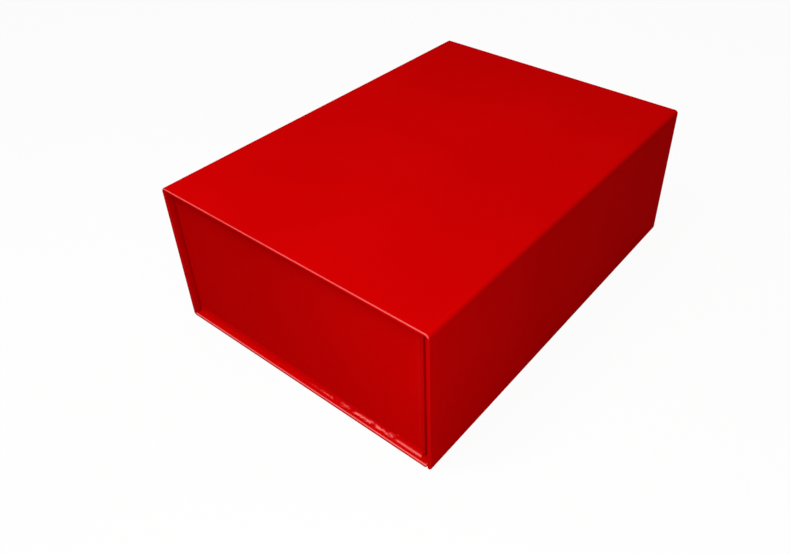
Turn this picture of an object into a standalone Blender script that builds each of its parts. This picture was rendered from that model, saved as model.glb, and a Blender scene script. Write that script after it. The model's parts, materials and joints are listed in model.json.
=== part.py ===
"""Rigid gift box: a wrapped board tray inside a book-style cover with a magnetic front flap.

The cover is four boards (base, spine, lid and flap) joined by the paper that wraps them.
The tray stands on the base board against the spine, set back from the cover's ends and front.
X runs along the box, -Y is the flap side and +Z is up. The origin is the middle of the footprint.
The lid turns on the paper fold along the spine, and the flap on the fold along the lid's front.
"""
import bmesh
import bpy
from math import cos, pi, radians, sin
from mathutils import Matrix, Vector

MM = 0.001

# Outside of the closed box
BOX_LENGTH = 330 * MM
BOX_DEPTH = 238 * MM
BOX_HEIGHT = 120 * MM

# Sheet materials
BOARD = 2.0 * MM
PAPER = 0.25 * MM
STAY = 0.25 * MM
GLUE = 0.3 * MM

# Cover
FOLD_RADIUS = 3.0 * MM
EDGE_RADIUS = 0.8 * MM
TURN_IN = 15 * MM
MITRE_SLIT = 0.3 * MM
LINING_BORDER = 4 * MM
LINING_BEND = 0.6 * MM
SPINE_LINING_DROP = 14 * MM
FLAP_GROUND_CLEARANCE = 0.5 * MM
FLAP_CLEARANCE = 0.5 * MM
LID_SEAT_GAP = 0.3 * MM

# Tray
TRAY_SETBACK = 5 * MM
TRAY_TURN_UNDER = 15 * MM
STAY_LEG = 20 * MM
STAY_END_GAP = 1 * MM

# Magnets in the flap and the steel discs that they hold to in the tray
MAGNET_DIAMETER = 15 * MM
MAGNET_SPACING = 190 * MM
MAGNET_HEIGHT = 32 * MM

# How finely rounded forms are divided
EDGE_STEPS = 3
FOLD_STEPS = 8
DISC_SIDES = 40

# What follows from the sizes above
HALF_LENGTH = BOX_LENGTH / 2
HALF_DEPTH = BOX_DEPTH / 2
SKIN = PAPER + GLUE
PANEL = BOARD + 2 * SKIN
LINED = PANEL + SKIN
FOLD_START = FOLD_RADIUS + GLUE
LID_EDGE = FOLD_START + SKIN

BASE_FRONT = -HALF_DEPTH + PANEL + FLAP_CLEARANCE
HINGE_FROM_CORNER = FOLD_RADIUS - (FOLD_RADIUS - PAPER / 2) * cos(pi / 4)
LID_AXIS = Vector((0, HALF_DEPTH - HINGE_FROM_CORNER, BOX_HEIGHT - HINGE_FROM_CORNER))
FLAP_AXIS = Vector((0, -LID_AXIS.y, LID_AXIS.z))

WALL = SKIN + STAY + GLUE + BOARD + SKIN
TRAY_HALF_LENGTH = HALF_LENGTH - TRAY_SETBACK
TRAY_FRONT = BASE_FRONT + TRAY_SETBACK
TRAY_BACK = HALF_DEPTH - LINED - GLUE
TRAY_BOTTOM = PANEL + GLUE
TRAY_TOP = BOX_HEIGHT - LINED - LID_SEAT_GAP
WALL_LINING_TOP = BOX_HEIGHT - LINED - GLUE
FLOOR_BOARD_TOP = TRAY_BOTTOM + SKIN + BOARD
WALL_FOOT = FLOOR_BOARD_TOP + GLUE
WALL_HEAD = TRAY_TOP - SKIN
ROOM_LOW = Vector((-TRAY_HALF_LENGTH + WALL, TRAY_FRONT + WALL, WALL_FOOT))
ROOM_HIGH = Vector((TRAY_HALF_LENGTH - WALL, TRAY_BACK - WALL, TRAY_TOP))
TRAY_LOW = Vector((-TRAY_HALF_LENGTH, TRAY_FRONT, TRAY_BOTTOM))
TRAY_HIGH = Vector((TRAY_HALF_LENGTH, TRAY_BACK, TRAY_TOP))
PAST = 10 * MM  # how far a cutter runs past the face that it cuts


# ---------------------------------------------------------------- scene and materials

def empty_scene():
    """Remove every object, mesh and collection, so that each run starts the same."""
    for thing in list(bpy.data.objects):
        bpy.data.objects.remove(thing, do_unlink=True)
    for group in list(bpy.data.collections):
        bpy.data.collections.remove(group)
    for mesh in list(bpy.data.meshes):
        bpy.data.meshes.remove(mesh)


def new_collection(name):
    group = bpy.data.collections.new(name)
    bpy.context.scene.collection.children.link(group)
    return group


def new_material(name, colour, roughness, metallic=0.0):
    finish = bpy.data.materials.new(name)
    finish.use_nodes = True
    shader = finish.node_tree.nodes["Principled BSDF"]
    shader.inputs["Base Color"].default_value = (*colour, 1)
    shader.inputs["Roughness"].default_value = roughness
    shader.inputs["Metallic"].default_value = metallic
    finish.diffuse_color = (*colour, 1)
    return finish


def tint_of(base, shade):
    """A copy of a colour, made lighter or darker, so that touching sheets can be told apart."""
    return tuple(min(1.0, channel * shade) for channel in base)


# ---------------------------------------------------------------- basic shapes

def add_object(name, bm, place, group, finish=None):
    bmesh.ops.recalc_face_normals(bm, faces=bm.faces)
    mesh = bpy.data.meshes.new(name)
    bm.to_mesh(mesh)
    bm.free()
    thing = bpy.data.objects.new(name, mesh)
    thing.location = place
    group.objects.link(thing)
    if finish:
        mesh.materials.append(finish)
    return thing


def box_bmesh(size, radius=0.0, keep_square=()):
    """A box about its own middle. Its edges are rounded, but not those round a face that is named in
    keep_square as (axis number, side), where another sheet carries on."""
    bm = bmesh.new()
    bmesh.ops.create_cube(bm, size=1)
    bmesh.ops.scale(bm, vec=size, verts=bm.verts)
    if radius:
        def stays_square(edge):
            return any(
                all(end.co[axis] * side > 0.499 * size[axis] for end in edge.verts)
                for axis, side in keep_square
            )

        rounded = [edge for edge in bm.edges if not stays_square(edge)]
        bmesh.ops.bevel(
            bm, geom=rounded, offset=radius, segments=EDGE_STEPS, profile=0.5, affect="EDGES"
        )
    return bm


def block(name, low, high, group, finish=None, radius=0.0, keep_square=()):
    """A box between two corners given in the box's own frame."""
    low, high = Vector(low), Vector(high)
    bm = box_bmesh(high - low, radius, keep_square)
    return add_object(name, bm, (low + high) / 2, group, finish)


def disc(name, place, diameter, thickness, group, finish=None):
    """A round disc that faces along Y."""
    bm = bmesh.new()
    turn = Matrix.Rotation(pi / 2, 3, "X")
    bmesh.ops.create_cone(
        bm, cap_ends=True, segments=DISC_SIDES, radius1=diameter / 2,
        radius2=diameter / 2, depth=thickness,
    )
    bmesh.ops.rotate(bm, matrix=turn, verts=bm.verts)
    thing = add_object(name, bm, place, group, finish)
    thing.data.shade_smooth()
    thing.data.set_sharp_from_angle(angle=radians(40))
    return thing


def arc(centre, radius, start, end, steps):
    """Points along an arc in a plane, from one angle in radians to another."""
    return [
        (
            centre[0] + radius * cos(start + (end - start) * n / steps),
            centre[1] + radius * sin(start + (end - start) * n / steps),
        )
        for n in range(steps + 1)
    ]


def rounded_path(corners, radius, steps):
    """A path of points whose inner corners are each replaced by a curve that starts a radius away."""
    path = [corners[0]]
    for before, corner, after in zip(corners, corners[1:], corners[2:]):
        start = corner + (before - corner).normalized() * radius
        end = corner + (after - corner).normalized() * radius
        centre = start + end - corner
        for n in range(steps + 1):
            turn = pi / 2 * n / steps
            path.append(centre + (start - centre) * cos(turn) + (end - centre) * sin(turn))
    return path + [corners[-1]]


def bent_sheet(name, outline, to_corner, low, high, thickness, group, finish):
    """A sheet that follows an outline, pulled from low to high, and thickened behind the outline.
    to_corner turns a point of the outline and a distance along the pull into a place in the box."""
    bm = bmesh.new()
    rows = [
        [bm.verts.new(to_corner(point, along)) for point in outline] for along in (low, high)
    ]
    for n in range(len(outline) - 1):
        bm.faces.new((rows[0][n], rows[1][n], rows[1][n + 1], rows[0][n + 1]))
    bm.normal_update()
    mesh = bpy.data.meshes.new(name)
    bm.to_mesh(mesh)
    bm.free()
    mesh.materials.append(finish)
    sheet = bpy.data.objects.new(name, mesh)
    group.objects.link(sheet)
    wall = sheet.modifiers.new("paper thickness", "SOLIDIFY")
    wall.thickness = thickness
    wall.offset = -1
    wall.use_even_offset = True
    return sheet


def cut(target, cutter):
    """Cut a shape out of another. The cutter stays as a wire guide that moves with the piece."""
    cutter.parent = target
    cutter.matrix_parent_inverse = Matrix.Translation(-target.location)
    cutter.hide_render = True
    cutter.display_type = "WIRE"
    step = target.modifiers.new("cut " + cutter.name, "BOOLEAN")
    step.operation = "DIFFERENCE"
    step.solver = "EXACT"
    step.object = cutter


def hang(pieces, axis_empty):
    """Parent pieces to the empty on their hinge line without moving them."""
    for piece in pieces:
        piece.parent = axis_empty
        piece.matrix_parent_inverse = Matrix.Translation(-axis_empty.location)


def hinge_empty(name, place, group):
    empty = bpy.data.objects.new(name, None)
    empty.empty_display_type = "SINGLE_ARROW"
    empty.empty_display_size = 30 * MM
    empty.location = place
    group.objects.link(empty)
    return empty


# ---------------------------------------------------------------- cover panels

class Panel:
    """One wrapped board of the cover, described by the directions that differ between panels.

    face is the outside face's axis number and side. run is the axis across the folds, and low and
    high are the panel's ends along it. free_ends lists the sides, -1 or 1, where the paper is turned
    in over the board's edge, and skin_low and skin_high are how far the outer paper alone reaches
    past the board towards a fold."""

    def __init__(self, name, face, run, low, high, free_ends=(), skin_low=None, skin_high=None):
        self.name = name
        self.axis, self.side = face
        self.run = run
        self.low, self.high = low, high
        self.skin_low = low if skin_low is None else skin_low
        self.skin_high = high if skin_high is None else skin_high
        self.free_ends = free_ends
        reach = {(1, 1): HALF_DEPTH, (1, -1): -HALF_DEPTH, (2, 1): BOX_HEIGHT, (2, -1): 0.0}
        self.outside = reach[(self.axis, self.side)]

    def corners(self, end_inset, low, high, depth_from, depth_to):
        """Two corners of a box in this panel: an inset from each end of the box, a stretch along
        the run, and two depths below the outside face."""
        low_corner, high_corner = Vector(), Vector()
        low_corner.x, high_corner.x = -HALF_LENGTH + end_inset, HALF_LENGTH - end_inset
        low_corner[self.run], high_corner[self.run] = low, high
        depths = sorted(self.outside - self.side * depth for depth in (depth_from, depth_to))
        low_corner[self.axis], high_corner[self.axis] = depths
        return low_corner, high_corner

    def end(self, side, inset=0.0):
        """The panel's end on one side of its run, moved inwards by an inset if it is a free end."""
        place = self.low if side < 0 else self.high
        return place - side * inset if side in self.free_ends else place

    def board(self, parts, finish):
        low, high = self.end(-1, SKIN), self.end(1, SKIN)
        return block(
            self.name + "_board", *self.corners(SKIN, low, high, SKIN, SKIN + BOARD), parts, finish
        )

    def wrap(self, parts, cutters, finish):
        """The paper round the board: a hollow, round-edged envelope that is open at the folds, with
        a window inside where the turned-in edges stop."""
        folds = [(self.run, side) for side in (-1, 1) if side not in self.free_ends]
        sheet = block(
            self.name + "_wrap", *self.corners(0, self.skin_low, self.skin_high, 0, PANEL),
            parts, finish, EDGE_RADIUS, folds,
        )
        cut(sheet, self.hollow(cutters, folds))
        cut(sheet, self.window(cutters))
        for side, skin_end, end in ((-1, self.skin_low, self.low), (1, self.skin_high, self.high)):
            if skin_end != end:
                cut(sheet, self.notch(side, skin_end, end, cutters))
        for side in self.free_ends:
            for end_side in (-1, 1):
                cut(sheet, self.mitre(side, end_side, cutters))
        return sheet

    def hollow(self, cutters, folds):
        low = self.end(-1, PAPER) - (0 if -1 in self.free_ends else PAST)
        high = self.end(1, PAPER) + (0 if 1 in self.free_ends else PAST)
        return block(
            self.name + "_hollow", *self.corners(PAPER, low, high, PAPER, PANEL - PAPER),
            cutters, None, EDGE_RADIUS - PAPER, folds,
        )

    def window(self, cutters):
        low = self.end(-1, TURN_IN) - (0 if -1 in self.free_ends else PAST)
        high = self.end(1, TURN_IN) + (0 if 1 in self.free_ends else PAST)
        return block(
            self.name + "_window",
            *self.corners(TURN_IN, low, high, PANEL / 2, PANEL + PAST), cutters,
        )

    def notch(self, side, skin_end, end, cutters):
        """Clears all but the outer paper where it reaches past the board towards a fold."""
        low, high = sorted((end, skin_end + side * PAST))
        return block(
            f"{self.name}_notch_{'low' if side < 0 else 'high'}",
            *self.corners(-PAST, low, high, PAPER, PANEL + PAST), cutters,
        )

    def mitre(self, side, end_side, cutters):
        """A slit at 45 degrees, where two turned-in edges meet at a corner of the panel."""
        where = f"{'low' if side < 0 else 'high'}_{'left' if end_side < 0 else 'right'}"
        outer, inner = 2 * EDGE_RADIUS, TURN_IN + MITRE_SLIT
        length = (inner - outer) * 2 ** 0.5
        size = Vector((length, MITRE_SLIT, MITRE_SLIT))
        size[self.axis] = GLUE + 2 * PAPER
        size[self.run] = MITRE_SLIT
        bm = box_bmesh(size)
        turn = radians(45) * end_side * side * (1 if self.axis == 2 else -1)
        turned_axis = "Z" if self.axis == 2 else "Y"
        bmesh.ops.rotate(bm, matrix=Matrix.Rotation(turn, 3, turned_axis), verts=bm.verts)
        middle = Vector()
        reach = (inner + outer) / 2
        middle.x = end_side * (HALF_LENGTH - reach)
        middle[self.run] = (self.high if side > 0 else self.low) - side * reach
        middle[self.axis] = self.outside - self.side * PANEL
        return add_object(f"{self.name}_mitre_{where}", bm, middle, cutters)


def cover_panels():
    """The four panels of the closed cover. No board reaches into the corners, where the paper
    rolls round. At the two hinges the boards stop shorter still, to leave room for the lining
    that is turned over their edges, and only the outer paper runs on to the fold."""
    fold_y, fold_z = HALF_DEPTH - FOLD_START, BOX_HEIGHT - FOLD_START
    lid_end, wall_head = HALF_DEPTH - LID_EDGE, WALL_LINING_TOP - SKIN
    base = Panel("base", (2, -1), 1, BASE_FRONT, fold_y, free_ends=(-1,))
    spine = Panel("spine", (1, 1), 2, FOLD_START, wall_head, skin_high=fold_z)
    lid = Panel("lid", (2, 1), 1, -lid_end, lid_end, skin_low=-fold_y, skin_high=fold_y)
    flap = Panel(
        "flap", (1, -1), 2, FLAP_GROUND_CLEARANCE, wall_head, free_ends=(-1,), skin_high=fold_z
    )
    return base, spine, lid, flap


def across_box(point, along):
    """A place in the box from a point of the end view (depth, height) and a distance along it."""
    return along, point[0], point[1]


def down_corner(point, along):
    """A place in the box from a point of the plan view and a height."""
    return point[0], point[1], along


def fold(name, centre, start, radius, end_inset, group, finish):
    """Paper rolled round one long edge of the cover: a quarter of a thin tube."""
    outline = arc(centre, radius, start, start - pi / 2, FOLD_STEPS)
    end = HALF_LENGTH - end_inset
    return bent_sheet(name, outline, across_box, -end, end, PAPER, group, finish)


def cover_folds(parts, paper, lining_paper):
    """The three rolled corners. At the two hinges a strip of the lining is pasted inside the outer
    paper, and the two bend as one."""
    back_y, top_z = HALF_DEPTH - FOLD_RADIUS, BOX_HEIGHT - FOLD_RADIUS
    fold("base_spine_fold", (back_y, FOLD_RADIUS), 0, FOLD_RADIUS, 0, parts, paper)
    made = []
    for corner, centre, start in (
        ("spine_lid", (back_y, top_z), pi / 2),
        ("lid_flap", (-back_y, top_z), pi),
    ):
        outer = fold(corner + "_fold", centre, start, FOLD_RADIUS, 0, parts, paper)
        strip = fold(
            corner + "_hinge_strip", centre, start, FOLD_RADIUS - SKIN, LINING_BORDER, parts,
            lining_paper,
        )
        made.append((outer, strip))
    return made


def lining(name, corners, group, finish):
    """A lining sheet that follows a path in the end view, with its corners bent round the boards."""
    end = HALF_LENGTH - LINING_BORDER
    outline = rounded_path([Vector(corner) for corner in corners], LINING_BEND, EDGE_STEPS)
    return bent_sheet(name, outline, across_box, -end, end, PAPER, group, finish)


def cover_linings(parts, finish):
    """The linings of the spine's top, the lid and the flap, turned over the boards' hinge edges.
    Each path runs along the side that shows, so the sheet's thickness lies behind it."""
    lid_y, lid_z = HALF_DEPTH - FOLD_START, BOX_HEIGHT - LINED
    wall_y, wall_z = HALF_DEPTH - LINED, WALL_LINING_TOP
    board_y, board_z = HALF_DEPTH - SKIN, BOX_HEIGHT - SKIN
    lining("spine_lining", (
        (wall_y, wall_z - SPINE_LINING_DROP), (wall_y, wall_z), (board_y, wall_z),
    ), parts, finish)
    lid = lining("lid_lining", (
        (lid_y, board_z), (lid_y, lid_z), (-lid_y, lid_z), (-lid_y, board_z),
    ), parts, finish)
    flap = lining("flap_lining", (
        (-board_y, wall_z), (-wall_y, wall_z), (-wall_y, FLAP_GROUND_CLEARANCE + LINING_BORDER),
    ), parts, finish)
    return lid, flap


# ---------------------------------------------------------------- tray

def tray_walls(parts, finish):
    """Four boards that stand on the bottom board: the front and back run the full length, and the
    two end walls fit between them."""
    out = SKIN + STAY + GLUE
    x, front, back = TRAY_HALF_LENGTH - out, TRAY_FRONT + out, TRAY_BACK - out
    bottom = block(
        "tray_bottom_board", (-x, front, TRAY_BOTTOM + SKIN), (x, back, FLOOR_BOARD_TOP),
        parts, finish,
    )
    front_wall = block(
        "tray_front_wall", (-x, front, WALL_FOOT), (x, front + BOARD, WALL_HEAD), parts, finish
    )
    back_wall = block(
        "tray_back_wall", (-x, back - BOARD, WALL_FOOT), (x, back, WALL_HEAD), parts, finish
    )
    ends = []
    for name, side in (("left", -1), ("right", 1)):
        low_x, high_x = sorted((side * x, side * (x - BOARD)))
        ends.append(block(
            f"tray_{name}_wall", (low_x, front + BOARD + GLUE, WALL_FOOT),
            (high_x, back - BOARD - GLUE, WALL_HEAD), parts, finish,
        ))
    return bottom, front_wall, back_wall, *ends


def corner_stays(parts, finish):
    """Paper tape bent round the outside of each corner of the tray, under the red sheet."""
    stays = []
    x = TRAY_HALF_LENGTH - SKIN
    for y_name, y, y_side in (("front", TRAY_FRONT + SKIN, -1), ("back", TRAY_BACK - SKIN, 1)):
        for x_name, x_side in (("left", -1), ("right", 1)):
            corner = Vector((x_side * x, y))
            along_x = corner - Vector((x_side * STAY_LEG, 0))
            along_y = corner - Vector((0, y_side * STAY_LEG))
            outline = [along_x, corner, along_y]
            if x_side * y_side < 0:
                outline.reverse()
            stays.append(bent_sheet(
                f"corner_stay_{y_name}_{x_name}", outline, down_corner,
                WALL_FOOT + STAY_END_GAP, WALL_HEAD - STAY_END_GAP, STAY, parts, finish,
            ))
    return stays


def tray_wrap(parts, cutters, finish):
    """One red sheet: under the tray's edge, up its outside, over the rim and down inside."""
    inset = Vector((PAPER, PAPER, 0))
    sheet = block("tray_wrap", TRAY_LOW, TRAY_HIGH, parts, finish, EDGE_RADIUS)
    inner_radius = EDGE_RADIUS - PAPER
    boards = block(
        "tray_boards_space", TRAY_LOW + inset + Vector((0, 0, PAPER)),
        TRAY_HIGH - inset - Vector((0, 0, PAPER)), cutters, None, inner_radius,
    )
    core = block(
        "tray_core", ROOM_LOW - inset, ROOM_HIGH + inset + Vector((0, 0, PAST)), cutters,
    )
    cut(boards, core)
    cut(sheet, boards)
    cut(sheet, block("tray_room", ROOM_LOW - Vector((0, 0, GLUE)),
                     ROOM_HIGH + Vector((0, 0, PAST)), cutters))
    under = Vector((TRAY_TURN_UNDER, TRAY_TURN_UNDER, 0))
    cut(sheet, block(
        "tray_underside_window", TRAY_LOW + under - Vector((0, 0, PAST)),
        Vector((TRAY_HIGH.x, TRAY_HIGH.y, WALL_FOOT - GLUE)) - under, cutters,
    ))
    return sheet


def tray_floor_lining(parts, finish):
    gap = Vector((GLUE, GLUE, 0))
    return block(
        "tray_floor_lining", ROOM_LOW + gap,
        Vector((ROOM_HIGH.x, ROOM_HIGH.y, ROOM_LOW.z + PAPER)) - gap, parts, finish,
    )


# ---------------------------------------------------------------- magnets

def closure(parts, cutters, flap_board, front_wall, magnet_finish, disc_finish):
    """Magnets let into holes through the flap's board, and steel discs in the tray's front wall."""
    flap_y = -HALF_DEPTH + SKIN + BOARD / 2
    wall_y = TRAY_FRONT + SKIN + STAY + GLUE + BOARD / 2
    magnets, discs = [], []
    for side_name, side in (("left", -1), ("right", 1)):
        x = side * MAGNET_SPACING / 2
        for kind, y, carrier, finish, made in (
            ("flap_magnet", flap_y, flap_board, magnet_finish, magnets),
            ("tray_disc", wall_y, front_wall, disc_finish, discs),
        ):
            place = (x, y, MAGNET_HEIGHT)
            name = f"{kind}_{side_name}"
            made.append(disc(name, place, MAGNET_DIAMETER, BOARD, parts, finish))
            cut(carrier, disc(
                name + "_hole", place, MAGNET_DIAMETER + 2 * GLUE, BOARD + PAST, cutters
            ))
    return magnets, discs


# ---------------------------------------------------------------- the whole box

def build_box():
    empty_scene()
    parts = new_collection("gift_box")
    cutters = new_collection("cutters")

    red = (0.60, 0.002, 0.003)
    grey = (0.36, 0.33, 0.29)
    paper = new_material("red_laminated_paper", red, 0.34)
    fold_paper = new_material("red_fold_paper", tint_of(red, 0.9), 0.36)
    lining_paper = new_material("red_lining_paper", tint_of(red, 0.8), 0.5)
    board = new_material("grey_board", grey, 0.9)
    tape = new_material("kraft_stay_tape", (0.47, 0.30, 0.16), 0.8)
    magnet = new_material("nickel_plated_magnet", (0.55, 0.54, 0.52), 0.25, 1.0)
    steel = new_material("steel_disc", (0.42, 0.43, 0.44), 0.4, 1.0)

    base, spine, lid, flap = cover_panels()
    boards = {panel.name: panel.board(parts, board) for panel in (base, spine, lid, flap)}
    wraps = {panel.name: panel.wrap(parts, cutters, paper) for panel in (base, spine, lid, flap)}

    _, flap_folds = cover_folds(parts, fold_paper, lining_paper)
    lid_lining, flap_lining = cover_linings(parts, lining_paper)

    _, front_wall, *_ = tray_walls(parts, board)
    corner_stays(parts, tape)
    tray_wrap(parts, cutters, paper)
    tray_floor_lining(parts, lining_paper)
    magnets, _ = closure(parts, cutters, boards["flap"], front_wall, magnet, steel)

    lid_axis = hinge_empty("lid_hinge_axis", LID_AXIS, parts)
    flap_axis = hinge_empty("flap_hinge_axis", FLAP_AXIS, parts)
    hang([boards["lid"], wraps["lid"], lid_lining, *flap_folds, flap_axis], lid_axis)
    hang([boards["flap"], wraps["flap"], flap_lining, *magnets], flap_axis)


build_box()
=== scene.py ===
# %% [markdown]
# # A red rigid gift box, finished in satin paper
#
# The box is grey board wrapped in one red sheet: a book-style cover (base, spine, lid and flap) that
# folds round a tray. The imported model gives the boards, the folds and the bodies that move, so this
# lesson never moves them. It makes the paper: fine rounded edges, folds that roll, linings that
# show what lies under them, and the slight puckers that glue leaves.

import json
from math import pi, radians

import bmesh
import bpy
import numpy as np
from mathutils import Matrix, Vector


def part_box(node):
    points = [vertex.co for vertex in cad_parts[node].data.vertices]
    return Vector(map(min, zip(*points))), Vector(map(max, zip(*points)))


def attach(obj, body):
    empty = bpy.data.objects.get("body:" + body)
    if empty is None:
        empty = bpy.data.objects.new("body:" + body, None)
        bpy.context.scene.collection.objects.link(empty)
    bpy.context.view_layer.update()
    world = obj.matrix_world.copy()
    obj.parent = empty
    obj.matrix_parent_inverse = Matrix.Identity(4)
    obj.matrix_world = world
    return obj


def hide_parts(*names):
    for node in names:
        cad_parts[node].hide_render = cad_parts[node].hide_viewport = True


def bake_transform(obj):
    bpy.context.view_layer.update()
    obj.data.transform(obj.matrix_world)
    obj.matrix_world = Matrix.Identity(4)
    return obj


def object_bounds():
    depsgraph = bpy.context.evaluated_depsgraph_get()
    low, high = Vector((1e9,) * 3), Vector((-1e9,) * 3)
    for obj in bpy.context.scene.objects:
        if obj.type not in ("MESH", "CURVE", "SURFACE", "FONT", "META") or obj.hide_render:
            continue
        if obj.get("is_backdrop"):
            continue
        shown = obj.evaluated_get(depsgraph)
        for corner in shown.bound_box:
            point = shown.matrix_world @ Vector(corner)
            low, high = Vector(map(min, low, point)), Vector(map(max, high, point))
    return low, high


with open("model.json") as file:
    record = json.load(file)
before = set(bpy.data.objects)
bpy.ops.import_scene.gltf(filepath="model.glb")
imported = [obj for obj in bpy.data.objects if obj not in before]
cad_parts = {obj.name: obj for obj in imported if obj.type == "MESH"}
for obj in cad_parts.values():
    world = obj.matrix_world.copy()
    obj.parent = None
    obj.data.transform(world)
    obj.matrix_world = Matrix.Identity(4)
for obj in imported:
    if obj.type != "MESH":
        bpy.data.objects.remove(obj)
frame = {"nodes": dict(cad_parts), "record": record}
cad_low, cad_high = (Vector(corner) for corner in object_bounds())
MM = 0.001
print("box in mm:", [round(side / MM, 1) for side in cad_high - cad_low])

# %% [markdown]
# ## Camera
#
# A camera can be placed by eye, but a box's straight edges say more: they lead to three vanishing
# points, which fix the lens and the place that the picture was taken from. The numbers below come
# from that. The small shift is there because the picture is a crop whose middle is not where the
# lens pointed.

# %% Place the camera
CAMERA_PLACE = Vector((-0.3911, -0.3020, 0.4094))
CAMERA_TURN = [radians(angle) for angle in (53.19, -0.24, -52.51)]
LENS_MM = 34.22
CROP_SHIFT = (-0.0633, -0.0588)


def place_camera():
    lens = bpy.data.cameras.new("camera")
    lens.lens = LENS_MM
    lens.shift_x, lens.shift_y = CROP_SHIFT
    lens.clip_start = 0.01
    camera = bpy.data.objects.new("camera", lens)
    camera.location = CAMERA_PLACE
    camera.rotation_euler = CAMERA_TURN
    bpy.context.scene.collection.objects.link(camera)
    bpy.context.scene.camera = camera


place_camera()
print("camera distance from the middle of the box's foot in mm:", round(CAMERA_PLACE.length / MM))

# %% [markdown]
# ## Nodes written as sums
#
# A material or a geometry tree is a graph, and a graph is hard to read in code. Here a `Socket`
# stands for one output of a node, and Python's own signs work on it: `1 - mask * 0.3` adds the
# Math nodes by itself. Every other node comes from one method, `Tree.node`.

# %% A socket that Python's signs work on
class Socket:
    """One output of a node. Each sign adds a Math node, or a Vector Math node for vectors."""

    def __init__(self, tree, output):
        self.tree, self.output = tree, output

    def __add__(self, other):
        return self.tree.maths("ADD", self, other)

    def __radd__(self, other):
        return self.tree.maths("ADD", other, self)

    def __sub__(self, other):
        return self.tree.maths("SUBTRACT", self, other)

    def __rsub__(self, other):
        return self.tree.maths("SUBTRACT", other, self)

    def __mul__(self, other):
        return self.tree.maths("MULTIPLY", self, other)

    def __rmul__(self, other):
        return self.tree.maths("MULTIPLY", other, self)

    def __truediv__(self, other):
        return self.tree.maths("DIVIDE", self, other)

    def __rtruediv__(self, other):
        return self.tree.maths("DIVIDE", other, self)

    def step(self, low, high):
        """0 below low, 1 above high, and a smooth rise between them."""
        return self.tree.node(
            "ShaderNodeMapRange", {"interpolation_type": "SMOOTHSTEP"},
            {"Value": self, "From Min": low, "From Max": high},
        )


# %% A tree that adds nodes
def find_socket(sockets, key):
    if isinstance(key, int):
        return sockets[key]
    return next(socket for socket in sockets if key in (socket.identifier, socket.name))


class Tree:
    """A node tree that is being written, of a material or of geometry."""

    def __init__(self, nodes_and_links):
        self.graph = nodes_and_links

    def node(self, kind, settings=None, inputs=None, out=0):
        """Add a node, set it up, feed its sockets, and give back one of its outputs."""
        made = self.graph.nodes.new(kind)
        for name, value in (settings or {}).items():
            setattr(made, name, value)
        for key, value in (inputs or {}).items():
            socket = find_socket(made.inputs, key)
            if isinstance(value, Socket):
                self.graph.links.new(value.output, socket)
            else:
                socket.default_value = value
        return Socket(self, find_socket(made.outputs, out)) if made.outputs else made

    def maths(self, operation, *values):
        """Maths on numbers, or on vectors where one of the values is a vector."""
        on_vectors = any(
            isinstance(value, (tuple, Vector)) or
            (isinstance(value, Socket) and value.output.type == "VECTOR") for value in values
        )
        if on_vectors:
            values = [(v, v, v) if isinstance(v, (int, float)) else v for v in values]
        kind = "ShaderNodeVectorMath" if on_vectors else "ShaderNodeMath"
        return self.node(kind, {"operation": operation}, dict(enumerate(values)))

    def split(self, vector):
        """The three parts of a vector, as numbers."""
        first = self.node("ShaderNodeSeparateXYZ", None, {"Vector": vector})
        return [Socket(self, output) for output in first.output.node.outputs]


print("signs ready:", [name for name in dir(Socket) if name.startswith("__r")][:4])

# %% [markdown]
# ## Materials
#
# Satin laminated paper is red ink under a thin film. From most sides it looks deep and even, with
# hardly any white in it, because the film is pressed flat on fine fibres. Where the sheet is pulled
# round a board's edge, the film is stretched smooth, and there it catches the light as a thin pink
# line. So the paper here has a soft body and a clear coat whose weight rises only where the
# mesh says that the paper bends: its `edge` attribute. Along the same edges the base colour is
# mixed towards pink, partly the stretched film's paler tone and partly a painted highlight,
# strongest on edges that face up.

# %% Start and end a material
RED, RED_DEEP = (0.615, 0.0002, 0.0004, 1), (0.585, 0.0002, 0.0004, 1)
LINING_RED, LINING_RED_DEEP = (0.565, 0.001, 0.0014, 1), (0.545, 0.0008, 0.0012, 1)
# The pink below is mixed in along the edges: partly the stretched film's paler tone, partly a painted
# highlight.
RED_STRETCHED_AND_LIT = (0.95, 0.15, 0.14, 1)
FACE_SHEEN = 0.006


def start_material(name):
    material = bpy.data.materials.new(name)
    material.use_nodes = True
    material.node_tree.nodes.clear()
    tree = Tree(material.node_tree)
    place = tree.node("ShaderNodeTexCoord", None, None, "Object")
    return material, tree, place


def end_material(tree, sockets):
    surface = tree.node("ShaderNodeBsdfPrincipled", None, sockets)
    tree.node("ShaderNodeOutputMaterial", None, {"Surface": surface})


def noise(tree, place, scale, detail, roughness=0.5):
    return tree.node("ShaderNodeTexNoise", None, {
        "Vector": place, "Scale": scale, "Detail": detail, "Roughness": roughness,
    })


def colour_between(tree, factor, first, second):
    return tree.node("ShaderNodeMix", {"data_type": "RGBA"}, {
        "Factor_Float": factor, "A_Color": first, "B_Color": second,
    }, "Result_Color")


def bump(tree, height, distance, strength):
    return tree.node("ShaderNodeBump", None, {
        "Height": height, "Distance": distance, "Strength": strength,
    })


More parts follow.
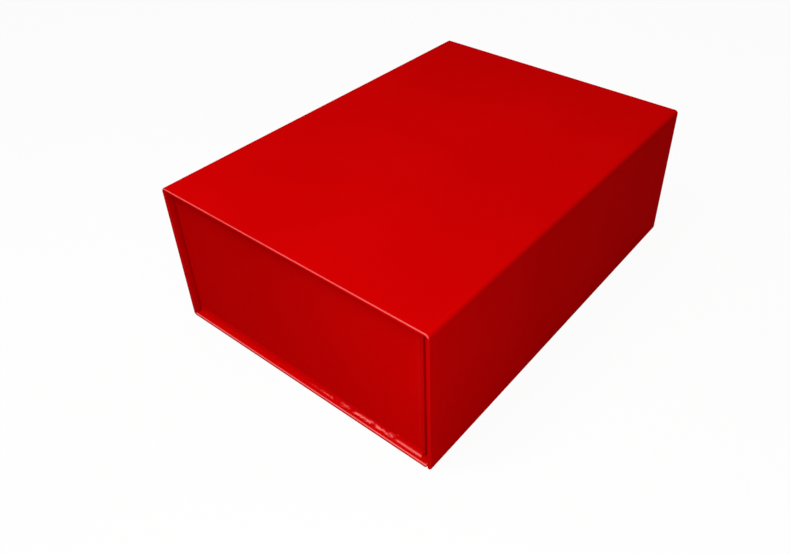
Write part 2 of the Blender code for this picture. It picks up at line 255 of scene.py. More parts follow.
# %% Red cover paper
def red_cover_paper():
    material, tree, place = start_material("red_cover_paper")
    edge = tree.node("ShaderNodeAttribute", {"attribute_name": "edge"}, None, "Fac")
    cloudy = noise(tree, place, 9, 2)
    fibre = noise(tree, place, 1400, 3, 0.6)
    peel = noise(tree, place, 260, 2)
    # The pink along the edges is partly the stretched film's paler tone and partly a painted
    # highlight; the noise only makes it patchy.
    patchy = 0.75 + noise(tree, place, 160, 3).step(0.35, 0.65) * 0.25
    stretched_and_lit = edge.step(0.35, 1.0) * patchy
    body = colour_between(tree, cloudy.step(0.3, 0.7), RED_DEEP, RED)
    end_material(tree, {
        "Base Color": colour_between(tree, stretched_and_lit * 0.8, body, RED_STRETCHED_AND_LIT),
        "Roughness": 0.42 + cloudy * 0.06 - edge * 0.12,
        "Specular IOR Level": 0.0,
        "Coat Weight": edge.step(0.1, 0.9) * (1 - FACE_SHEEN) + cloudy * 2 * FACE_SHEEN,
        "Coat Roughness": 0.32,
        "Coat IOR": 1.65,
        "Normal": bump(tree, fibre * 0.4 + peel, 0.03 * MM, 0.5),
    })
    return material


cover_paper = red_cover_paper()
print("cover paper:", len(cover_paper.node_tree.nodes), "nodes")


# %% Red lining paper
def red_lining_paper():
    material, tree, place = start_material("red_lining_paper")
    edge = tree.node("ShaderNodeAttribute", {"attribute_name": "edge"}, None, "Fac")
    cloudy = noise(tree, place, 20, 3)
    fibre = noise(tree, place, 1100, 4, 0.65)
    body = colour_between(tree, cloudy.step(0.3, 0.7), LINING_RED_DEEP, LINING_RED)
    end_material(tree, {
        # A faint painted highlight: the lining's edges lean a little towards the pink edge colour.
        "Base Color": colour_between(tree, edge * 0.12, body, RED_STRETCHED_AND_LIT),
        "Roughness": 0.62 + fibre * 0.12,
        "Specular IOR Level": 0.03,
        "Normal": bump(tree, fibre, 0.05 * MM, 0.6),
    })
    return material


lining_paper = red_lining_paper()
print("lining paper:", len(lining_paper.node_tree.nodes), "nodes")


# %% Board, tape, magnets and discs
BOARD_DARK, BOARD_LIGHT = (0.30, 0.27, 0.235, 1), (0.42, 0.39, 0.345, 1)
BOARD_SPECK = (0.13, 0.11, 0.09, 1)
KRAFT_DARK, KRAFT_LIGHT = (0.40, 0.245, 0.125, 1), (0.55, 0.37, 0.20, 1)
NICKEL_DARK, NICKEL_LIGHT = (0.50, 0.49, 0.47, 1), (0.60, 0.59, 0.57, 1)
STEEL_DARK, STEEL_LIGHT = (0.36, 0.37, 0.38, 1), (0.47, 0.48, 0.49, 1)


def grey_board():
    material, tree, place = start_material("grey_board")
    pulp = noise(tree, place, 320, 5, 0.7)
    specks = noise(tree, place, 900, 2).step(0.66, 0.72)
    body = colour_between(tree, pulp, BOARD_DARK, BOARD_LIGHT)
    end_material(tree, {
        "Base Color": colour_between(tree, specks * 0.5, body, BOARD_SPECK),
        "Roughness": 0.86 + pulp * 0.1,
        "Normal": bump(tree, pulp, 0.15 * MM, 0.6),
    })
    return material


def kraft_tape():
    material, tree, place = start_material("kraft_stay_tape")
    along = tree.node("ShaderNodeMapping", None, {"Vector": place, "Scale": (1, 1, 0.2)})
    fibres = noise(tree, along, 700, 4, 0.65)
    end_material(tree, {
        "Base Color": colour_between(tree, fibres, KRAFT_DARK, KRAFT_LIGHT),
        "Roughness": 0.72 + fibres * 0.15,
        "Normal": bump(tree, fibres, 0.06 * MM, 0.6),
    })
    return material


def plated_metal(name, dark, light, roughness, grain):
    material, tree, place = start_material(name)
    drawn = tree.node("ShaderNodeMapping", None, {"Vector": place, "Scale": (1, 0.2, 6)})
    scratches = noise(tree, drawn, grain, 4, 0.7)
    end_material(tree, {
        "Base Color": colour_between(tree, scratches, dark, light),
        "Metallic": 1.0,
        "Roughness": roughness + scratches * 0.12,
        "Normal": bump(tree, scratches, 0.02 * MM, 0.5),
    })
    return material


finishes = {
    "grey_board": grey_board(),
    "stay_tape": kraft_tape(),
    "magnet": plated_metal("nickel_plated_magnet", NICKEL_DARK, NICKEL_LIGHT, 0.2, 300),
    "steel_disc": plated_metal("steel_disc", STEEL_DARK, STEEL_LIGHT, 0.34, 500),
    "red_cover_paper": cover_paper,
    "red_lining_paper": lining_paper,
}
for part in frame["record"]["subparts"]:
    mesh = frame["nodes"][part["node"]].data
    mesh.materials.clear()
    mesh.materials.append(finishes[part["material_slot"]])

# %% [markdown]
# ## A wrapped board, as a rule
#
# A wrapped board is a flat block whose edges are slightly round. A Bevel modifier could do it, but
# here a rule is clearer and gives neat rows of faces: start from a cube of rows, keep each point
# inside a smaller block, and push it out again by the edge's radius. A side that runs on into a
# fold stays square. Geometry Nodes work the rule out for every point at once.

# %% The tree for a wrapped board
BOARD_INPUTS = (
    ("Low Corner", "NodeSocketVector"), ("High Corner", "NodeSocketVector"),
    ("Edge Radius", "NodeSocketFloat"), ("Square Low", "NodeSocketVector"),
    ("Square High", "NodeSocketVector"), ("Rows", "NodeSocketVector"),
    ("Edge Rows", "NodeSocketInt"), ("Finish", "NodeSocketMaterial"),
)


def start_geometry(name, inputs):
    group = bpy.data.node_groups.new(name, "GeometryNodeTree")
    group.interface.new_socket("Geometry", in_out="INPUT", socket_type="NodeSocketGeometry")
    group.interface.new_socket("Geometry", in_out="OUTPUT", socket_type="NodeSocketGeometry")
    for socket_name, kind in inputs:
        group.interface.new_socket(socket_name, in_out="INPUT", socket_type=kind)
    tree = Tree(group)
    first = tree.node("NodeGroupInput")
    given = {output.name: Socket(tree, output) for output in first.output.node.outputs}
    return group, tree, given


def end_geometry(tree, shape, finish):
    real = tree.node("GeometryNodeRealizeInstances", None, {"Geometry": shape})
    dressed = tree.node("GeometryNodeSetMaterial", None, {"Geometry": real, "Material": finish})
    tree.node("NodeGroupOutput", None, {"Geometry": dressed})


def wrapped_board_tree():
    group, tree, given = start_geometry("wrapped_board", BOARD_INPUTS)
    edge_rows, radius = given["Edge Rows"], given["Edge Radius"]
    flat_rows = tree.split(given["Rows"])
    rows = [count + 2 * edge_rows for count in flat_rows]
    cube = tree.node("GeometryNodeMeshCube", None, {
        "Size": (2, 2, 2), "Vertices X": rows[0] + 1, "Vertices Y": rows[1] + 1,
        "Vertices Z": rows[2] + 1,
    }, "Mesh")
    unit = tree.node("GeometryNodeInputPosition")
    away = tree.maths("ABSOLUTE", unit)
    flat_share = given["Rows"] / (given["Rows"] + 2 * edge_rows)
    on_flat = tree.maths("MINIMUM", away, flat_share) / flat_share
    on_edge = tree.maths("MAXIMUM", away - flat_share, 0) / (1 - flat_share)
    turned = tree.maths("TANGENT", on_edge * (pi / 4))
    half = (given["High Corner"] - given["Low Corner"]) / 2
    middle = (given["High Corner"] + given["Low Corner"]) / 2
    block = tree.maths("SIGN", unit) * (on_flat * (half - radius) + turned * radius)
    inner_low = -1 * half + radius * (1 - given["Square Low"])
    inner_high = half - radius * (1 - given["Square High"])
    inner = tree.maths("MINIMUM", tree.maths("MAXIMUM", block, inner_low), inner_high)
    push = block - inner
    x, y, z = tree.split(tree.maths("ABSOLUTE", push))
    reach = tree.maths("MAXIMUM", tree.maths("MAXIMUM", x, y), z)
    place = middle + inner + tree.maths("NORMALIZE", push) * reach
    shape = tree.node("GeometryNodeSetPosition", None, {"Geometry": cube, "Position": place})
    end_geometry(tree, shape, given["Finish"])
    return group


board_tree = wrapped_board_tree()
print("wrapped board tree:", len(board_tree.nodes), "nodes")

# %% [markdown]
# ## A sheet along a path, as a rule
#
# The folds and the linings are strips of paper that follow a bent path when the box is seen from
# its end. They could be modelled face by face. Instead the path is drawn with a few corners, and the
# tree rounds those corners and sweeps the strip's own section along it. The path is the side of the
# strip that is glued or faces out, so a thicker place in the section grows away from it.

# %% The tree for a sheet along a path
SHEET_INPUTS = (
    ("Bend Radius", "NodeSocketFloat"), ("Bend Rows", "NodeSocketInt"),
    ("Section", "NodeSocketObject"), ("Finish", "NodeSocketMaterial"),
)


def swept(tree, path, section):
    """Sweep a closed section along a path, with the section's own width kept along the box."""
    upright = tree.node("GeometryNodeSetCurveNormal", {"mode": "FREE"}, {
        "Curve": path, "Normal": (1, 0, 0),
    })
    drawn = tree.node("GeometryNodeObjectInfo", None, {"Object": section}, "Geometry")
    outline = tree.node("GeometryNodeMeshToCurve", None, {"Mesh": drawn})
    return tree.node("GeometryNodeCurveToMesh", None, {
        "Curve": upright, "Profile Curve": outline, "Fill Caps": True,
    })


def bent_sheet_tree():
    group, tree, given = start_geometry("sheet_along_a_path", SHEET_INPUTS)
    path = tree.node("GeometryNodeMeshToCurve", None, {"Mesh": given["Geometry"]})
    bent = tree.node("GeometryNodeFilletCurve", {"mode": "POLY"}, {
        "Curve": path, "Radius": given["Bend Radius"], "Count": given["Bend Rows"],
        "Limit Radius": True,
    })
    end_geometry(tree, swept(tree, bent, given["Section"]), given["Finish"])
    return group


sheet_tree = bent_sheet_tree()
print("bent sheet tree:", len(sheet_tree.nodes), "nodes")


# %% Make a piece from a tree
SHARP_ANGLE = radians(40)
MERGE_WITHIN = 0.001 * MM
FLAT_FROM = 0.999
HALFWAY = 0.5 ** 0.5
SIDE_GLOSS = 0.25


def piece_from_tree(name, mesh, group, values):
    """Run a geometry tree once on a new object and keep what it makes as a plain mesh."""
    piece = bpy.data.objects.new(name, mesh)
    bpy.context.scene.collection.objects.link(piece)
    rule = piece.modifiers.new("rule", "NODES")
    rule.node_group = group
    for item in group.interface.items_tree:
        if item.in_out == "INPUT" and item.name in values:
            rule[item.identifier] = values[item.name]
    worked_out = piece.evaluated_get(bpy.context.evaluated_depsgraph_get())
    made = bpy.data.meshes.new_from_object(worked_out)
    piece.modifiers.clear()
    piece.data = made
    made.name = name
    finish_mesh(made)
    return piece


def finish_mesh(mesh):
    """Point the faces out, shade the round parts smooth and mark where the paper bends."""
    bm = bmesh.new()
    bm.from_mesh(mesh)
    bmesh.ops.remove_doubles(bm, verts=bm.verts, dist=MERGE_WITHIN)
    bmesh.ops.recalc_face_normals(bm, faces=bm.faces)
    bm.to_mesh(mesh)
    bm.free()
    mesh.shade_smooth()
    mesh.set_sharp_from_angle(angle=SHARP_ANGLE)
    mark_edges(mesh)


def mark_edges(mesh, ends_only=False):
    """The edge attribute: 0 on flat faces, and 1 where the surface turns halfway to the next face.
    Only slanting faces count, so a square corner stays 0. Edges that look up get the most: a painted
    highlight of a light from above, in the pink edge colour as well as in the coat.
    On a rolled fold only the turned-in ends count, because the roll itself is soft and unstretched."""
    bm = bmesh.new()
    bm.from_mesh(mesh)
    slanting = []
    for vert in bm.verts:
        slants = (face.normal for face in vert.link_faces if max(map(abs, face.normal)) < FLAT_FROM)
        slanting.append(sum(slants, Vector()))
    bm.free()
    normals = np.array([normal.normalized() for normal in slanting])
    across = np.hypot(normals[:, 1], normals[:, 2])
    most = np.maximum(np.abs(normals[:, 0]), across) if ends_only else np.abs(normals).max(axis=1)
    turned = np.where(most > 0, 1 - most, 0) / (1 - HALFWAY)
    # Painted highlight: edges that face up get more pink colour and coat, as a light from above would
    # light them.
    highlight_weight = SIDE_GLOSS + (1 - SIDE_GLOSS) * np.clip(normals[:, 2] / HALFWAY, 0, 1)
    edge = mesh.attributes.get("edge") or mesh.attributes.new("edge", "FLOAT", "POINT")
    edge.data.foreach_set("value", np.clip(turned * highlight_weight, 0, 1).astype(np.float32))


def scale_edge_marks(mesh, factor):
    """Strengthen or calm the edge attribute by one number, or by one number for each point."""
    edge = mesh.attributes["edge"].data
    values = np.empty(len(edge), dtype=np.float32)
    edge.foreach_get("value", values)
    edge.foreach_set("value", np.clip(values * factor, 0, 1).astype(np.float32))


def report(piece):
    print(piece.name, "faces:", len(piece.data.polygons), "size in mm:",
          [round(side / MM, 2) for side in piece.dimensions])
    return piece


# %% [markdown]
# ## The four wrapped panels
#
# Each panel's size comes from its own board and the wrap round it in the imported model. The boards
# stop a little before the folds, so the panels do too, and the folds carry the paper on.

# %% Make the panels
EDGE_RADIUS = 1.4 * MM
EDGE_ROWS = 6
FACE_ROW = 5 * MM
END_LAP = 0.05 * MM
BASE_HIGHLIGHT = 1.5


def wrapped_panel(name, node, board, run, body, square_low, square_high):
    """run is the axis across the folds, along which the panel ends a hair past its board's end, so
    that the two end faces don't lie in one plane."""
    low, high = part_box(node)
    board_low, board_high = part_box(board)
    if square_low[run]:
        low[run] = board_low[run] - END_LAP
    if square_high[run]:
        high[run] = board_high[run] + END_LAP
    rows = [max(2, round(side / FACE_ROW)) for side in high - low]
    panel = piece_from_tree(name, bpy.data.meshes.new(name), board_tree, {
        "Low Corner": low, "High Corner": high, "Edge Radius": EDGE_RADIUS,
        "Square Low": square_low, "Square High": square_high, "Rows": rows,
        "Edge Rows": EDGE_ROWS, "Finish": cover_paper,
    })
    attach(panel, body)
    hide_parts(node)
    return report(panel)


NEITHER, Y_SIDE, Z_SIDE = (0, 0, 0), (0, 1, 0), (0, 0, 1)
wrapped_panel("lid_paper", "lid_wrap", "lid_board", 1, "lid", Y_SIDE, Y_SIDE)
wrapped_panel("flap_paper", "flap_wrap", "flap_board", 2, "flap", NEITHER, Z_SIDE)
wrapped_panel("spine_paper", "spine_wrap", "spine_board", 2, "box", Z_SIDE, Z_SIDE)
base_panel = wrapped_panel("base_paper", "base_wrap", "base_board", 1, "box", NEITHER, Y_SIDE)
# A stronger painted highlight along the base's edges: more pink in the base colour, and more coat.
scale_edge_marks(base_panel.data, BASE_HIGHLIGHT)
print("the base's edges are rubbed", BASE_HIGHLIGHT, "times as much, because it is slid about on them")

# %% [markdown]
# ## The folds
#
# At a fold there is no board, only the outer paper, with a strip of lining pasted inside. At each end
# the paper is tucked in and doubled, which fills the fold to the boards' thickness there and closes
# the corner. It rolls from one panel to the next. The rolls at the two hinges are set in place only;
# they are not blended between the two bodies here.

# %% Draw a section and a path, and sweep one along the other
FOLD_PAPER = 0.5 * MM
LINING_PAPER = 0.25 * MM
ARC_ROWS = 6


def line_mesh(name, points, closed=False):
    mesh = bpy.data.meshes.new(name)
    last = len(points) if closed else len(points) - 1
    mesh.from_pydata(points, [(n, (n + 1) % len(points)) for n in range(last)], [])
    return mesh


def strip_section(half_width, paper, end_depth, end_width, end_slope, radius):
    """A strip's section as points of (along the box, depth), deeper for a width near both ends."""
    turns = np.linspace(0, pi / 2, ARC_ROWS + 1)
    side = half_width - radius
    face = [(side + radius * np.sin(turn), radius * (1 - np.cos(turn))) for turn in turns]
    back = [(side + radius * np.cos(turn), end_depth - radius * (1 - np.sin(turn))) for turn in turns]
    step = [(half_width - end_width, end_depth), (half_width - end_width - end_slope, paper)]
    right = face + back + step
    return [(x, -depth, 0) for x, depth in right + [(-x, depth) for x, depth in reversed(right)]]


def paper_along(name, corners, section, bend_radius, bend_rows, finish):
    """corners are (depth, height) points of the strip's outer or glued side in the end view."""
    drawn = bpy.data.objects.new(name + "_section", line_mesh(name + "_section", section, True))
    path = line_mesh(name, [(0, depth, height) for depth, height in corners])
    piece = piece_from_tree(name, path, sheet_tree, {
        "Bend Radius": bend_radius, "Bend Rows": bend_rows, "Section": drawn, "Finish": finish,
    })
    bpy.data.objects.remove(drawn)
    return piece


# %% Make the three folds
wall_y, box_height = cad_high.y, cad_high.z
fold_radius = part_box("spine_lid_fold")[1].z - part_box("spine_lid_fold")[0].z
cover_length = cad_high.x - cad_low.x
lid_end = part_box("lid_board")[1].y
wall_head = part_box("spine_board")[1].z
BORDER = (cover_length - (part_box("lid_lining")[1].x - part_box("lid_lining")[0].x)) / 2
TUCK_GAP = 0.1 * MM
FOLD_ROWS = 14
fold_section = strip_section(
    cover_length / 2, FOLD_PAPER, fold_radius - TUCK_GAP, BORDER - TUCK_GAP, 0, EDGE_RADIUS
)


def fold_paper(name, node, corners):
    roll = paper_along(name, corners, fold_section, fold_radius, FOLD_ROWS, cover_paper)
    mark_edges(roll.data, ends_only=True)
    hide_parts(node)
    return report(roll)


def bend_between(piece):
    """Bake the piece's placement into its mesh. It is not blended between the two hinges' bodies here.
    """
    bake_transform(piece)


base_end, spine_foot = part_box("base_board")[1].y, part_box("spine_board")[0].z
base_fold = fold_paper("base_spine_fold_paper", "base_spine_fold", (
    (base_end, 0), (wall_y, 0), (wall_y, spine_foot),
))
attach(base_fold, "box")
spine_fold = fold_paper("spine_lid_fold_paper", "spine_lid_fold", (
    (wall_y, wall_head), (wall_y, box_height), (lid_end, box_height),
))
bend_between(spine_fold)
flap_fold = fold_paper("lid_flap_fold_paper", "lid_flap_fold", (
    (-lid_end, box_height), (-wall_y, box_height), (-wall_y, wall_head),
))
bend_between(flap_fold)

# %% [markdown]
# ## The linings
#
# Inside, a second red sheet covers the boards and the turned-in edges of the first. Over the step
# where a turned-in edge ends, it shows a faint ridge all round, a thumb's width from the edge. At the
# hinges it dips over the board's edge and lies against the outer paper in the fold.

# %% Make the linings
BOARD_BEND = 0.6 * MM
BEND_ROWS = 4
TURN_IN = 15 * MM
RIDGE = 0.1 * MM
RIDGE_SLOPE = 1.2 * MM
PLAIN_END, PLAIN_SLOPE = 2 * MM, 0.5 * MM
LINING_EDGE = 0.1 * MM
half_lining = cover_length / 2 - BORDER
lining_section = strip_section(
    half_lining, LINING_PAPER, LINING_PAPER + RIDGE, TURN_IN - BORDER, RIDGE_SLOPE, LINING_EDGE
)
strip_only = strip_section(
    half_lining, LINING_PAPER, LINING_PAPER, PLAIN_END, PLAIN_SLOPE, LINING_EDGE
)


def lining(name, node, corners, section, bend_radius, body=None):
    sheet = paper_along(name, corners, section, bend_radius, BEND_ROWS, lining_paper)
    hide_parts(node)
    if body:
        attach(sheet, body)
    return report(sheet)


over_board = BOARD_BEND - LINING_PAPER
lid_low, lid_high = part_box("lid_lining")
lid_y, lid_face, lid_tuck = lid_high.y - LINING_PAPER, lid_low.z + LINING_PAPER, lid_high.z
lining("lid_lining_paper", "lid_lining", (
    (lid_y, lid_tuck), (lid_y, lid_face), (-lid_y, lid_face), (-lid_y, lid_tuck),
), lining_section, over_board, "lid")
flap_low, flap_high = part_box("flap_lining")
flap_y, flap_top = flap_high.y - LINING_PAPER, flap_high.z - LINING_PAPER
lining("flap_lining_paper", "flap_lining", (
    (flap_low.y, flap_top), (flap_y, flap_top), (flap_y, flap_low.z),
), lining_section, over_board, "flap")
spine_low, spine_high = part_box("spine_lining")
spine_y, spine_top = spine_low.y + LINING_PAPER, spine_high.z - LINING_PAPER
lining("spine_lining_paper", "spine_lining", (
    (spine_y, spine_low.z), (spine_y, spine_top), (spine_high.y, spine_top),
), strip_only, over_board, "box")

strip_low, strip_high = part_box("spine_lid_hinge_strip")
strip_y, strip_z, strip_radius = strip_high.y, strip_high.z, strip_high.y - strip_low.y
spine_strip = lining("spine_lid_hinge_lining", "spine_lid_hinge_strip", (
    (strip_y, spine_high.z), (strip_y, strip_z), (lid_high.y, strip_z),
), strip_only, strip_radius)
bend_between(spine_strip)
flap_strip = lining("lid_flap_hinge_lining", "lid_flap_hinge_strip", (
    (-lid_high.y, strip_z), (-strip_y, strip_z), (-strip_y, flap_high.z),
), strip_only, strip_radius)
bend_between(flap_strip)

# %% [markdown]
# ## The tray
#
# The tray's red sheet runs from under its bottom edge up the outside, over the rim and down the
# inside. Seen from above, every level of it is a rounded rectangle, so the shape is a stack of
# such rings joined level by level, which gives clean rows round the rim and the corners. The back
# leans in a little towards its top, and near the front of each end wall a hairline groove shows
# where the paper that comes round the corner ends.

# %% Rings of a rounded rectangle
TRAY_CORNER = 1.3 * MM
FOOT_SPREAD = 0.3 * MM
BACK_LEAN = 0.25 * MM
INSIDE_CORNER = 0.4 * MM
CORNER_ROWS = 6
SIDE_ROWS = 40
SEAM_FROM_CORNER = 1.1 * MM
SEAM_WIDTH = 0.3 * MM
SEAM_DEPTH = 0.25 * MM
LEFT_SIDE, RIGHT_SIDE = 1, 3
SEAM_STOPS = {LEFT_SIDE: -3, RIGHT_SIDE: 2}


def corner_radius(is_front, inset, height):
    """Round outside and nearly sharp inside. The front corners get rounder towards the foot."""
    outside = TRAY_CORNER + (FOOT_SPREAD * (1 - height / tray_high.z) if is_front else 0)
    return outside + (INSIDE_CORNER - outside) * min(1, inset / tray_wall)


def back_lean(inset, height):
    """How far the outside leans in at the back: the tray is glued low down and stands off above."""
    return BACK_LEAN * height / tray_high.z * (1 - min(1, inset / tray_wall))


def side_stops(length):
    """Where the rows of a straight side lie, closer together at a seam near each end."""
    near = [0, SEAM_FROM_CORNER - SEAM_WIDTH, SEAM_FROM_CORNER, SEAM_FROM_CORNER + SEAM_WIDTH]
    middle = list(np.linspace(near[-1], length - near[-1], SIDE_ROWS + 1)[1:-1])
    return near + middle + [length - stop for stop in reversed(near)]


def ring(low, high, inset, height):
    """One level of the tray, counter-clockwise from above, with as many points as every other level.
    On the end walls the front wall's paper comes round the corner and ends in a hairline seam."""
    arcs = []
    back = high.y - back_lean(inset, height)
    for x, y, start in (
        (high.x, back, 0), (low.x, back, pi / 2), (low.x, low.y, pi), (high.x, low.y, 3 * pi / 2),
    ):
        radius = corner_radius(y < 0, inset, height)
        reach = inset + radius
        centre = Vector((x - np.sign(x) * reach, y - np.sign(y) * reach, height))
        turns = np.linspace(start, start + pi / 2, CORNER_ROWS + 1)
        arcs.append([centre + Vector((np.cos(turn), np.sin(turn), 0)) * radius for turn in turns])
    points = []
    for n, arc in enumerate(arcs):
        side = arcs[(n + 1) % 4][0] - arc[-1]
        along = side.normalized()
        out = along.cross(Vector((0, 0, 1)))
        stops = side_stops(side.length)
        rise = np.zeros(len(stops))
        if inset == 0 and n in SEAM_STOPS:
            rise[SEAM_STOPS[n]] = -SEAM_DEPTH
        between = zip(stops[1:-1], rise[1:-1])
        points += arc + [arc[-1] + along * stop + out * up for stop, up in between]
    return points


# %% Join the rings into the tray's paper
RIM_RADIUS = 0.8 * MM
RIM_ROWS = 4
TRAY_UNDER = 15 * MM
HEIGHT_ROWS = 14
GLUE_LINE = 0.3 * MM
FLOOR_ROWS, FLOOR_EDGE_ROWS = (60, 42, 1), 2


def quarter(centre, radius, start):
    return [
        (centre[0] + radius * np.cos(turn), centre[1] + radius * np.sin(turn))
        for turn in np.linspace(start, start - pi / 2, RIM_ROWS + 1)
    ]


def tray_levels(low, high, floor):
    """The section of the wall as (inset, height), from under the tray up, over the rim and down."""
    foot, top, under = low.z, high.z, low.z + LINING_PAPER
    outside = quarter((RIM_RADIUS, foot + RIM_RADIUS), RIM_RADIUS, 3 * pi / 2)
    rise = [(0, height) for height in np.linspace(foot + RIM_RADIUS, top - RIM_RADIUS, HEIGHT_ROWS)]
    rim = quarter((RIM_RADIUS, top - RIM_RADIUS), RIM_RADIUS, pi)
    inner = quarter((tray_wall - RIM_RADIUS, top - RIM_RADIUS), RIM_RADIUS, pi / 2)
    fall = [(tray_wall, h) for h in np.linspace(top - RIM_RADIUS, floor, HEIGHT_ROWS)[1:]]
    return [(TRAY_UNDER, foot)] + outside + rise[1:-1] + rim + inner + fall + [(TRAY_UNDER, under)]


def joined_rings(name, rings, finish):
    """Bridge each ring to the next, and the last back to the first, into one closed skin."""
    bm = bmesh.new()
    rows = [[bm.verts.new(point) for point in points] for points in rings]
    count = len(rows[0])
    for lower, upper in zip(rows, rows[1:] + rows[:1]):
        for n in range(count):
            m = (n + 1) % count
            bm.faces.new((lower[n], lower[m], upper[m], upper[n]))
    mesh = bpy.data.meshes.new(name)
    bm.to_mesh(mesh)
    bm.free()
    mesh.materials.append(finish)
    finish_mesh(mesh)
    piece = bpy.data.objects.new(name, mesh)
    bpy.context.scene.collection.objects.link(piece)
    return piece


tray_low, tray_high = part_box("tray_wrap")
floor_low, floor_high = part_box("tray_floor_lining")
tray_wall = floor_low.x - GLUE_LINE - tray_low.x
print("tray wall in mm:", round(tray_wall / MM, 2), "floor at", round(floor_low.z / MM, 2))
tray = joined_rings("tray_paper", [
    ring(tray_low, tray_high, inset, height)
    for inset, height in tray_levels(tray_low, tray_high, floor_low.z)
], cover_paper)
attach(tray, "box")
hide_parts("tray_wrap")
report(tray)

tray_floor = piece_from_tree("tray_floor_paper", bpy.data.meshes.new("tray_floor_paper"), board_tree, {
    "Low Corner": floor_low, "High Corner": floor_high, "Edge Radius": LINING_EDGE,
    "Square Low": NEITHER, "Square High": NEITHER, "Rows": FLOOR_ROWS,
    "Edge Rows": FLOOR_EDGE_ROWS, "Finish": lining_paper,
})
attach(tray_floor, "box")
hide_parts("tray_floor_lining")
report(tray_floor)

# %% [markdown]
# ## The puckered foot
#
# The end walls stand back from the cover's ends. There the tray's paper runs out over the base in a
# soft roll, and glue has puckered it, most of all near the front. A pucker could be painted on,
# but light shows it only where the paper really rises. So the roll's section is swept along the foot,
# and noise lifts thin creases out of it, more and more towards the front. At the very corner the
# paper is pulled taut again, which leaves one straight line there. The creases and that line are
# also marked for the pink edge colour, a painted highlight, as well as for the coat's gloss.

# %% The tree for a puckered roll
ROLL_INPUTS = (
    ("Section", "NodeSocketObject"), ("Row Spacing", "NodeSocketFloat"),
    ("Crease Height", "NodeSocketFloat"), ("Creases Per Metre", "NodeSocketVector"),
    ("Seed", "NodeSocketFloat"), ("Calm From", "NodeSocketFloat"),
    ("Worst From", "NodeSocketFloat"), ("Taut From", "NodeSocketFloat"),
    ("Taut To", "NodeSocketFloat"), ("Finish", "NodeSocketMaterial"),
)
CREASE_SHARPNESS = 8
# How strongly each part of the roll is marked for the pink edge colour, a painted highlight, and for
# the coat.
HIGHLIGHT_ANYWHERE, HIGHLIGHT_ON_CREASE, HIGHLIGHT_WHERE_TAUT = 0.15, 0.85, 0.55


def puckered_roll_tree():
    group, tree, given = start_geometry("puckered_roll", ROLL_INPUTS)
    path = tree.node("GeometryNodeMeshToCurve", None, {"Mesh": given["Geometry"]})
    rows = tree.node("GeometryNodeResampleCurve", {"mode": "LENGTH"}, {
        "Curve": path, "Length": given["Row Spacing"],
    })
    roll = swept(tree, rows, given["Section"])
    place = tree.node("GeometryNodeInputPosition")
    cloud = tree.node("ShaderNodeTexNoise", {"noise_dimensions": "4D"}, {
        "Vector": place * given["Creases Per Metre"], "W": given["Seed"], "Scale": 1.0, "Detail": 2.0,
    })
    crease = tree.maths("MAXIMUM", 1 - tree.maths("ABSOLUTE", cloud - 0.5) * CREASE_SHARPNESS, 0)
    depth = tree.split(place)[1]
    worse = depth.step(given["Calm From"], given["Worst From"])
    taut = depth.step(given["Taut From"], given["Taut To"])
    loose = crease * (1 - taut)
    lift = tree.node("GeometryNodeInputNormal") * (loose * worse * given["Crease Height"])
    # Painted highlight: the creases and the taut corner get the pink edge colour and the coat.
    highlight_weight = HIGHLIGHT_ANYWHERE + loose * HIGHLIGHT_ON_CREASE + taut * HIGHLIGHT_WHERE_TAUT
    marked = tree.node("GeometryNodeStoreNamedAttribute", {"data_type": "FLOAT", "domain": "POINT"}, {
        "Geometry": roll, "Name": "pucker", "Value": worse * highlight_weight,
    })
    shape = tree.node("GeometryNodeSetPosition", None, {"Geometry": marked, "Offset": lift})
    end_geometry(tree, shape, given["Finish"])
    return group


roll_tree = puckered_roll_tree()
print("puckered roll tree:", len(roll_tree.nodes), "nodes")

# %% Make the two foot rolls
ROLL_HEIGHT = 5.2 * MM
ROLL_START = 1.3 * MM
ROLL_ROWS = 14
EVEN_RISE = 0.12
ROW_SPACING = 0.8 * MM
CREASE_HEIGHT = 0.55 * MM
CREASES_PER_METRE = (150, 130, 150)
TAUT_FROM, TAUT_TO = 26 * MM, 19 * MM
base_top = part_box("base_wrap")[1].z


def foot_section(side):
    """From the base's edge up against the end wall: flat at first, then steeper and steeper."""
    shares = np.linspace(0, 1, ROLL_ROWS)
    edge, wall = cad_high.x - ROLL_START, tray_high.x
    rise = EVEN_RISE * shares + (1 - EVEN_RISE) * shares ** 4
    skin = [
        (edge + (wall - edge) * share, base_top + ROLL_HEIGHT * up) for share, up in zip(shares, rise)
    ]
    inside, top, bottom = wall - GLUE_LINE, base_top + ROLL_HEIGHT, base_top - GLUE_LINE
    closing = [(inside, top), (inside, bottom), (edge, bottom)]
    return [(side * x, height, 0) for x, height in skin + closing]


def foot_roll(name, side, seed, calm, worst, highlight_weight):
    """The roll at one end: side is -1 at the left and 1 at the right. The puckers start at the
    depth calm and are at their worst from the depth worst on. highlight_weight says how strongly they
    show the pink line, a painted highlight in the base colour as well as gloss; the right end gets
    less."""
    drawn = line_mesh(name + "_section", foot_section(side), True)
    section = bpy.data.objects.new(name + "_section", drawn)
    path = line_mesh(name, [(0, tray_high.y - TRAY_CORNER, 0), (0, tray_low.y + TRAY_CORNER, 0)])
    roll = piece_from_tree(name, path, roll_tree, {
        "Section": section, "Row Spacing": ROW_SPACING, "Crease Height": CREASE_HEIGHT,
        "Creases Per Metre": CREASES_PER_METRE, "Seed": seed, "Calm From": calm,
        "Worst From": worst, "Taut From": tray_low.y + TAUT_FROM, "Taut To": tray_low.y + TAUT_TO,
        "Finish": cover_paper,
    })
    bpy.data.objects.remove(section)
    puckers = np.empty(len(roll.data.vertices), dtype=np.float32)
    roll.data.attributes["pucker"].data.foreach_get("value", puckers)
    scale_edge_marks(roll.data, highlight_weight * puckers)
    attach(roll, "box")
    report(roll)


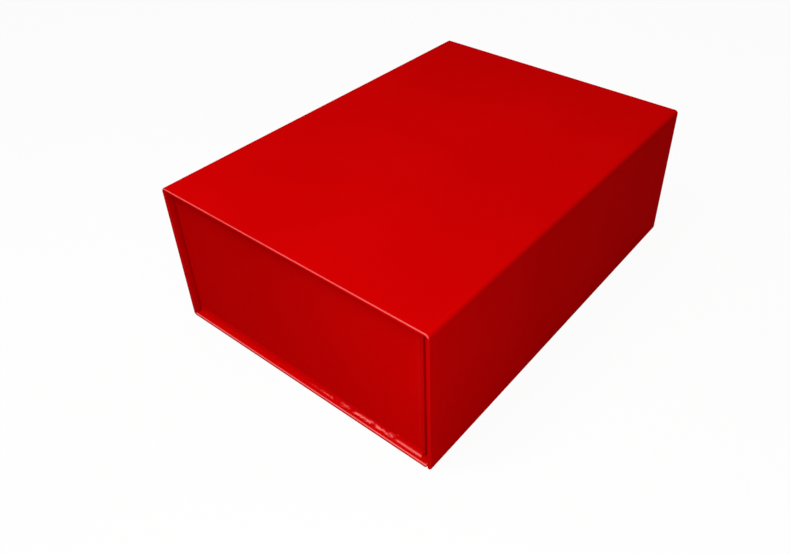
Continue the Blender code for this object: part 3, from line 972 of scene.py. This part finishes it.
foot_roll("foot_roll_left", side=-1, seed=3.0, calm=25 * MM, worst=-70 * MM, highlight_weight=1.6)
foot_roll("foot_roll_right", side=1, seed=8.0, calm=40 * MM, worst=-180 * MM, highlight_weight=0.6)

# %% [markdown]
# ## Floor and light
#
# The floor is plain and pale. The camera sees it and the sky as white, while the box is lit only by
# the lamps and a quiet sky, so white stays white without more light on the red. The main soft lamp
# hangs over the near end, which leaves the recess at the spine in shade under the lid. A weak
# one stands in front, and a small one low by the front corner, where the end wall is lightest.

# %% Lay the floor
FLOOR_SIZE = 12.0
FLOOR_DROP = 0.1 * MM
FLOOR_WHITE_SHARE = 0.94
FLOOR_LIT, FLOOR_SEEN = (0.43, 0.43, 0.43, 1), (0.9, 0.9, 0.9, 1)


def seen_directly(tree):
    """1 where a ray comes from the camera, or by way of gloss or glass, and 0 for lighting."""
    path = tree.node("ShaderNodeLightPath")
    rays = {output.name: Socket(tree, output) for output in path.output.node.outputs}
    either = tree.maths("MAXIMUM", rays["Is Camera Ray"], rays["Is Glossy Ray"])
    return tree.maths("MAXIMUM", either, rays["Is Transmission Ray"])


def lay_floor():
    material, tree, _ = start_material("pale_floor")
    seen = seen_directly(tree)
    matt = tree.node("ShaderNodeBsdfDiffuse", None, {
        "Color": colour_between(tree, seen, FLOOR_LIT, FLOOR_SEEN),
    })
    white = tree.node("ShaderNodeEmission", None, {"Color": (1, 1, 1, 1), "Strength": 1.0})
    mix = tree.node("ShaderNodeMixShader", None, {
        0: seen * FLOOR_WHITE_SHARE, 1: matt, 2: white,
    })
    tree.node("ShaderNodeOutputMaterial", None, {"Surface": mix})
    bm = bmesh.new()
    bmesh.ops.create_grid(bm, x_segments=1, y_segments=1, size=FLOOR_SIZE / 2)
    bmesh.ops.translate(bm, verts=bm.verts, vec=(0, 0, cad_low.z - FLOOR_DROP))
    mesh = bpy.data.meshes.new("floor")
    bm.to_mesh(mesh)
    bm.free()
    mesh.materials.append(material)
    floor = bpy.data.objects.new("floor", mesh)
    bpy.context.scene.collection.objects.link(floor)
    floor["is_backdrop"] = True


lay_floor()
print("floor:", FLOOR_SIZE, "m across")

# %% Light the box
SKY_STRENGTH = 0.34
LAMP_AIM = Vector((-0.05, -0.05, 0.06))


def set_sky():
    world = bpy.data.worlds.new("studio")
    world.use_nodes = True
    world.node_tree.nodes.clear()
    tree = Tree(world.node_tree)
    sky = tree.node("ShaderNodeBackground", None, {
        "Color": (1, 1, 1, 1), "Strength": seen_directly(tree) * (1 - SKY_STRENGTH) + SKY_STRENGTH,
    })
    tree.node("ShaderNodeOutputWorld", None, {"Surface": sky})
    bpy.context.scene.world = world


def soft_lamp(name, place, size, watts):
    lamp = bpy.data.lights.new(name, "AREA")
    lamp.shape = "SQUARE"
    lamp.size = size
    lamp.energy = watts
    holder = bpy.data.objects.new(name, lamp)
    holder.location = place
    holder.visible_camera = False
    holder.rotation_euler = (LAMP_AIM - Vector(place)).to_track_quat("-Z", "Y").to_euler()
    bpy.context.scene.collection.objects.link(holder)


set_sky()
soft_lamp("overhead_lamp", (-0.40, 0.05, 0.90), size=0.50, watts=5.28)
soft_lamp("front_lamp", (-0.20, -0.90, 0.50), size=0.60, watts=0.61)
soft_lamp("corner_lamp", (-0.40, -0.26, 0.15), size=0.20, watts=0.37)
view = bpy.context.scene.view_settings
view.view_transform = "Standard"
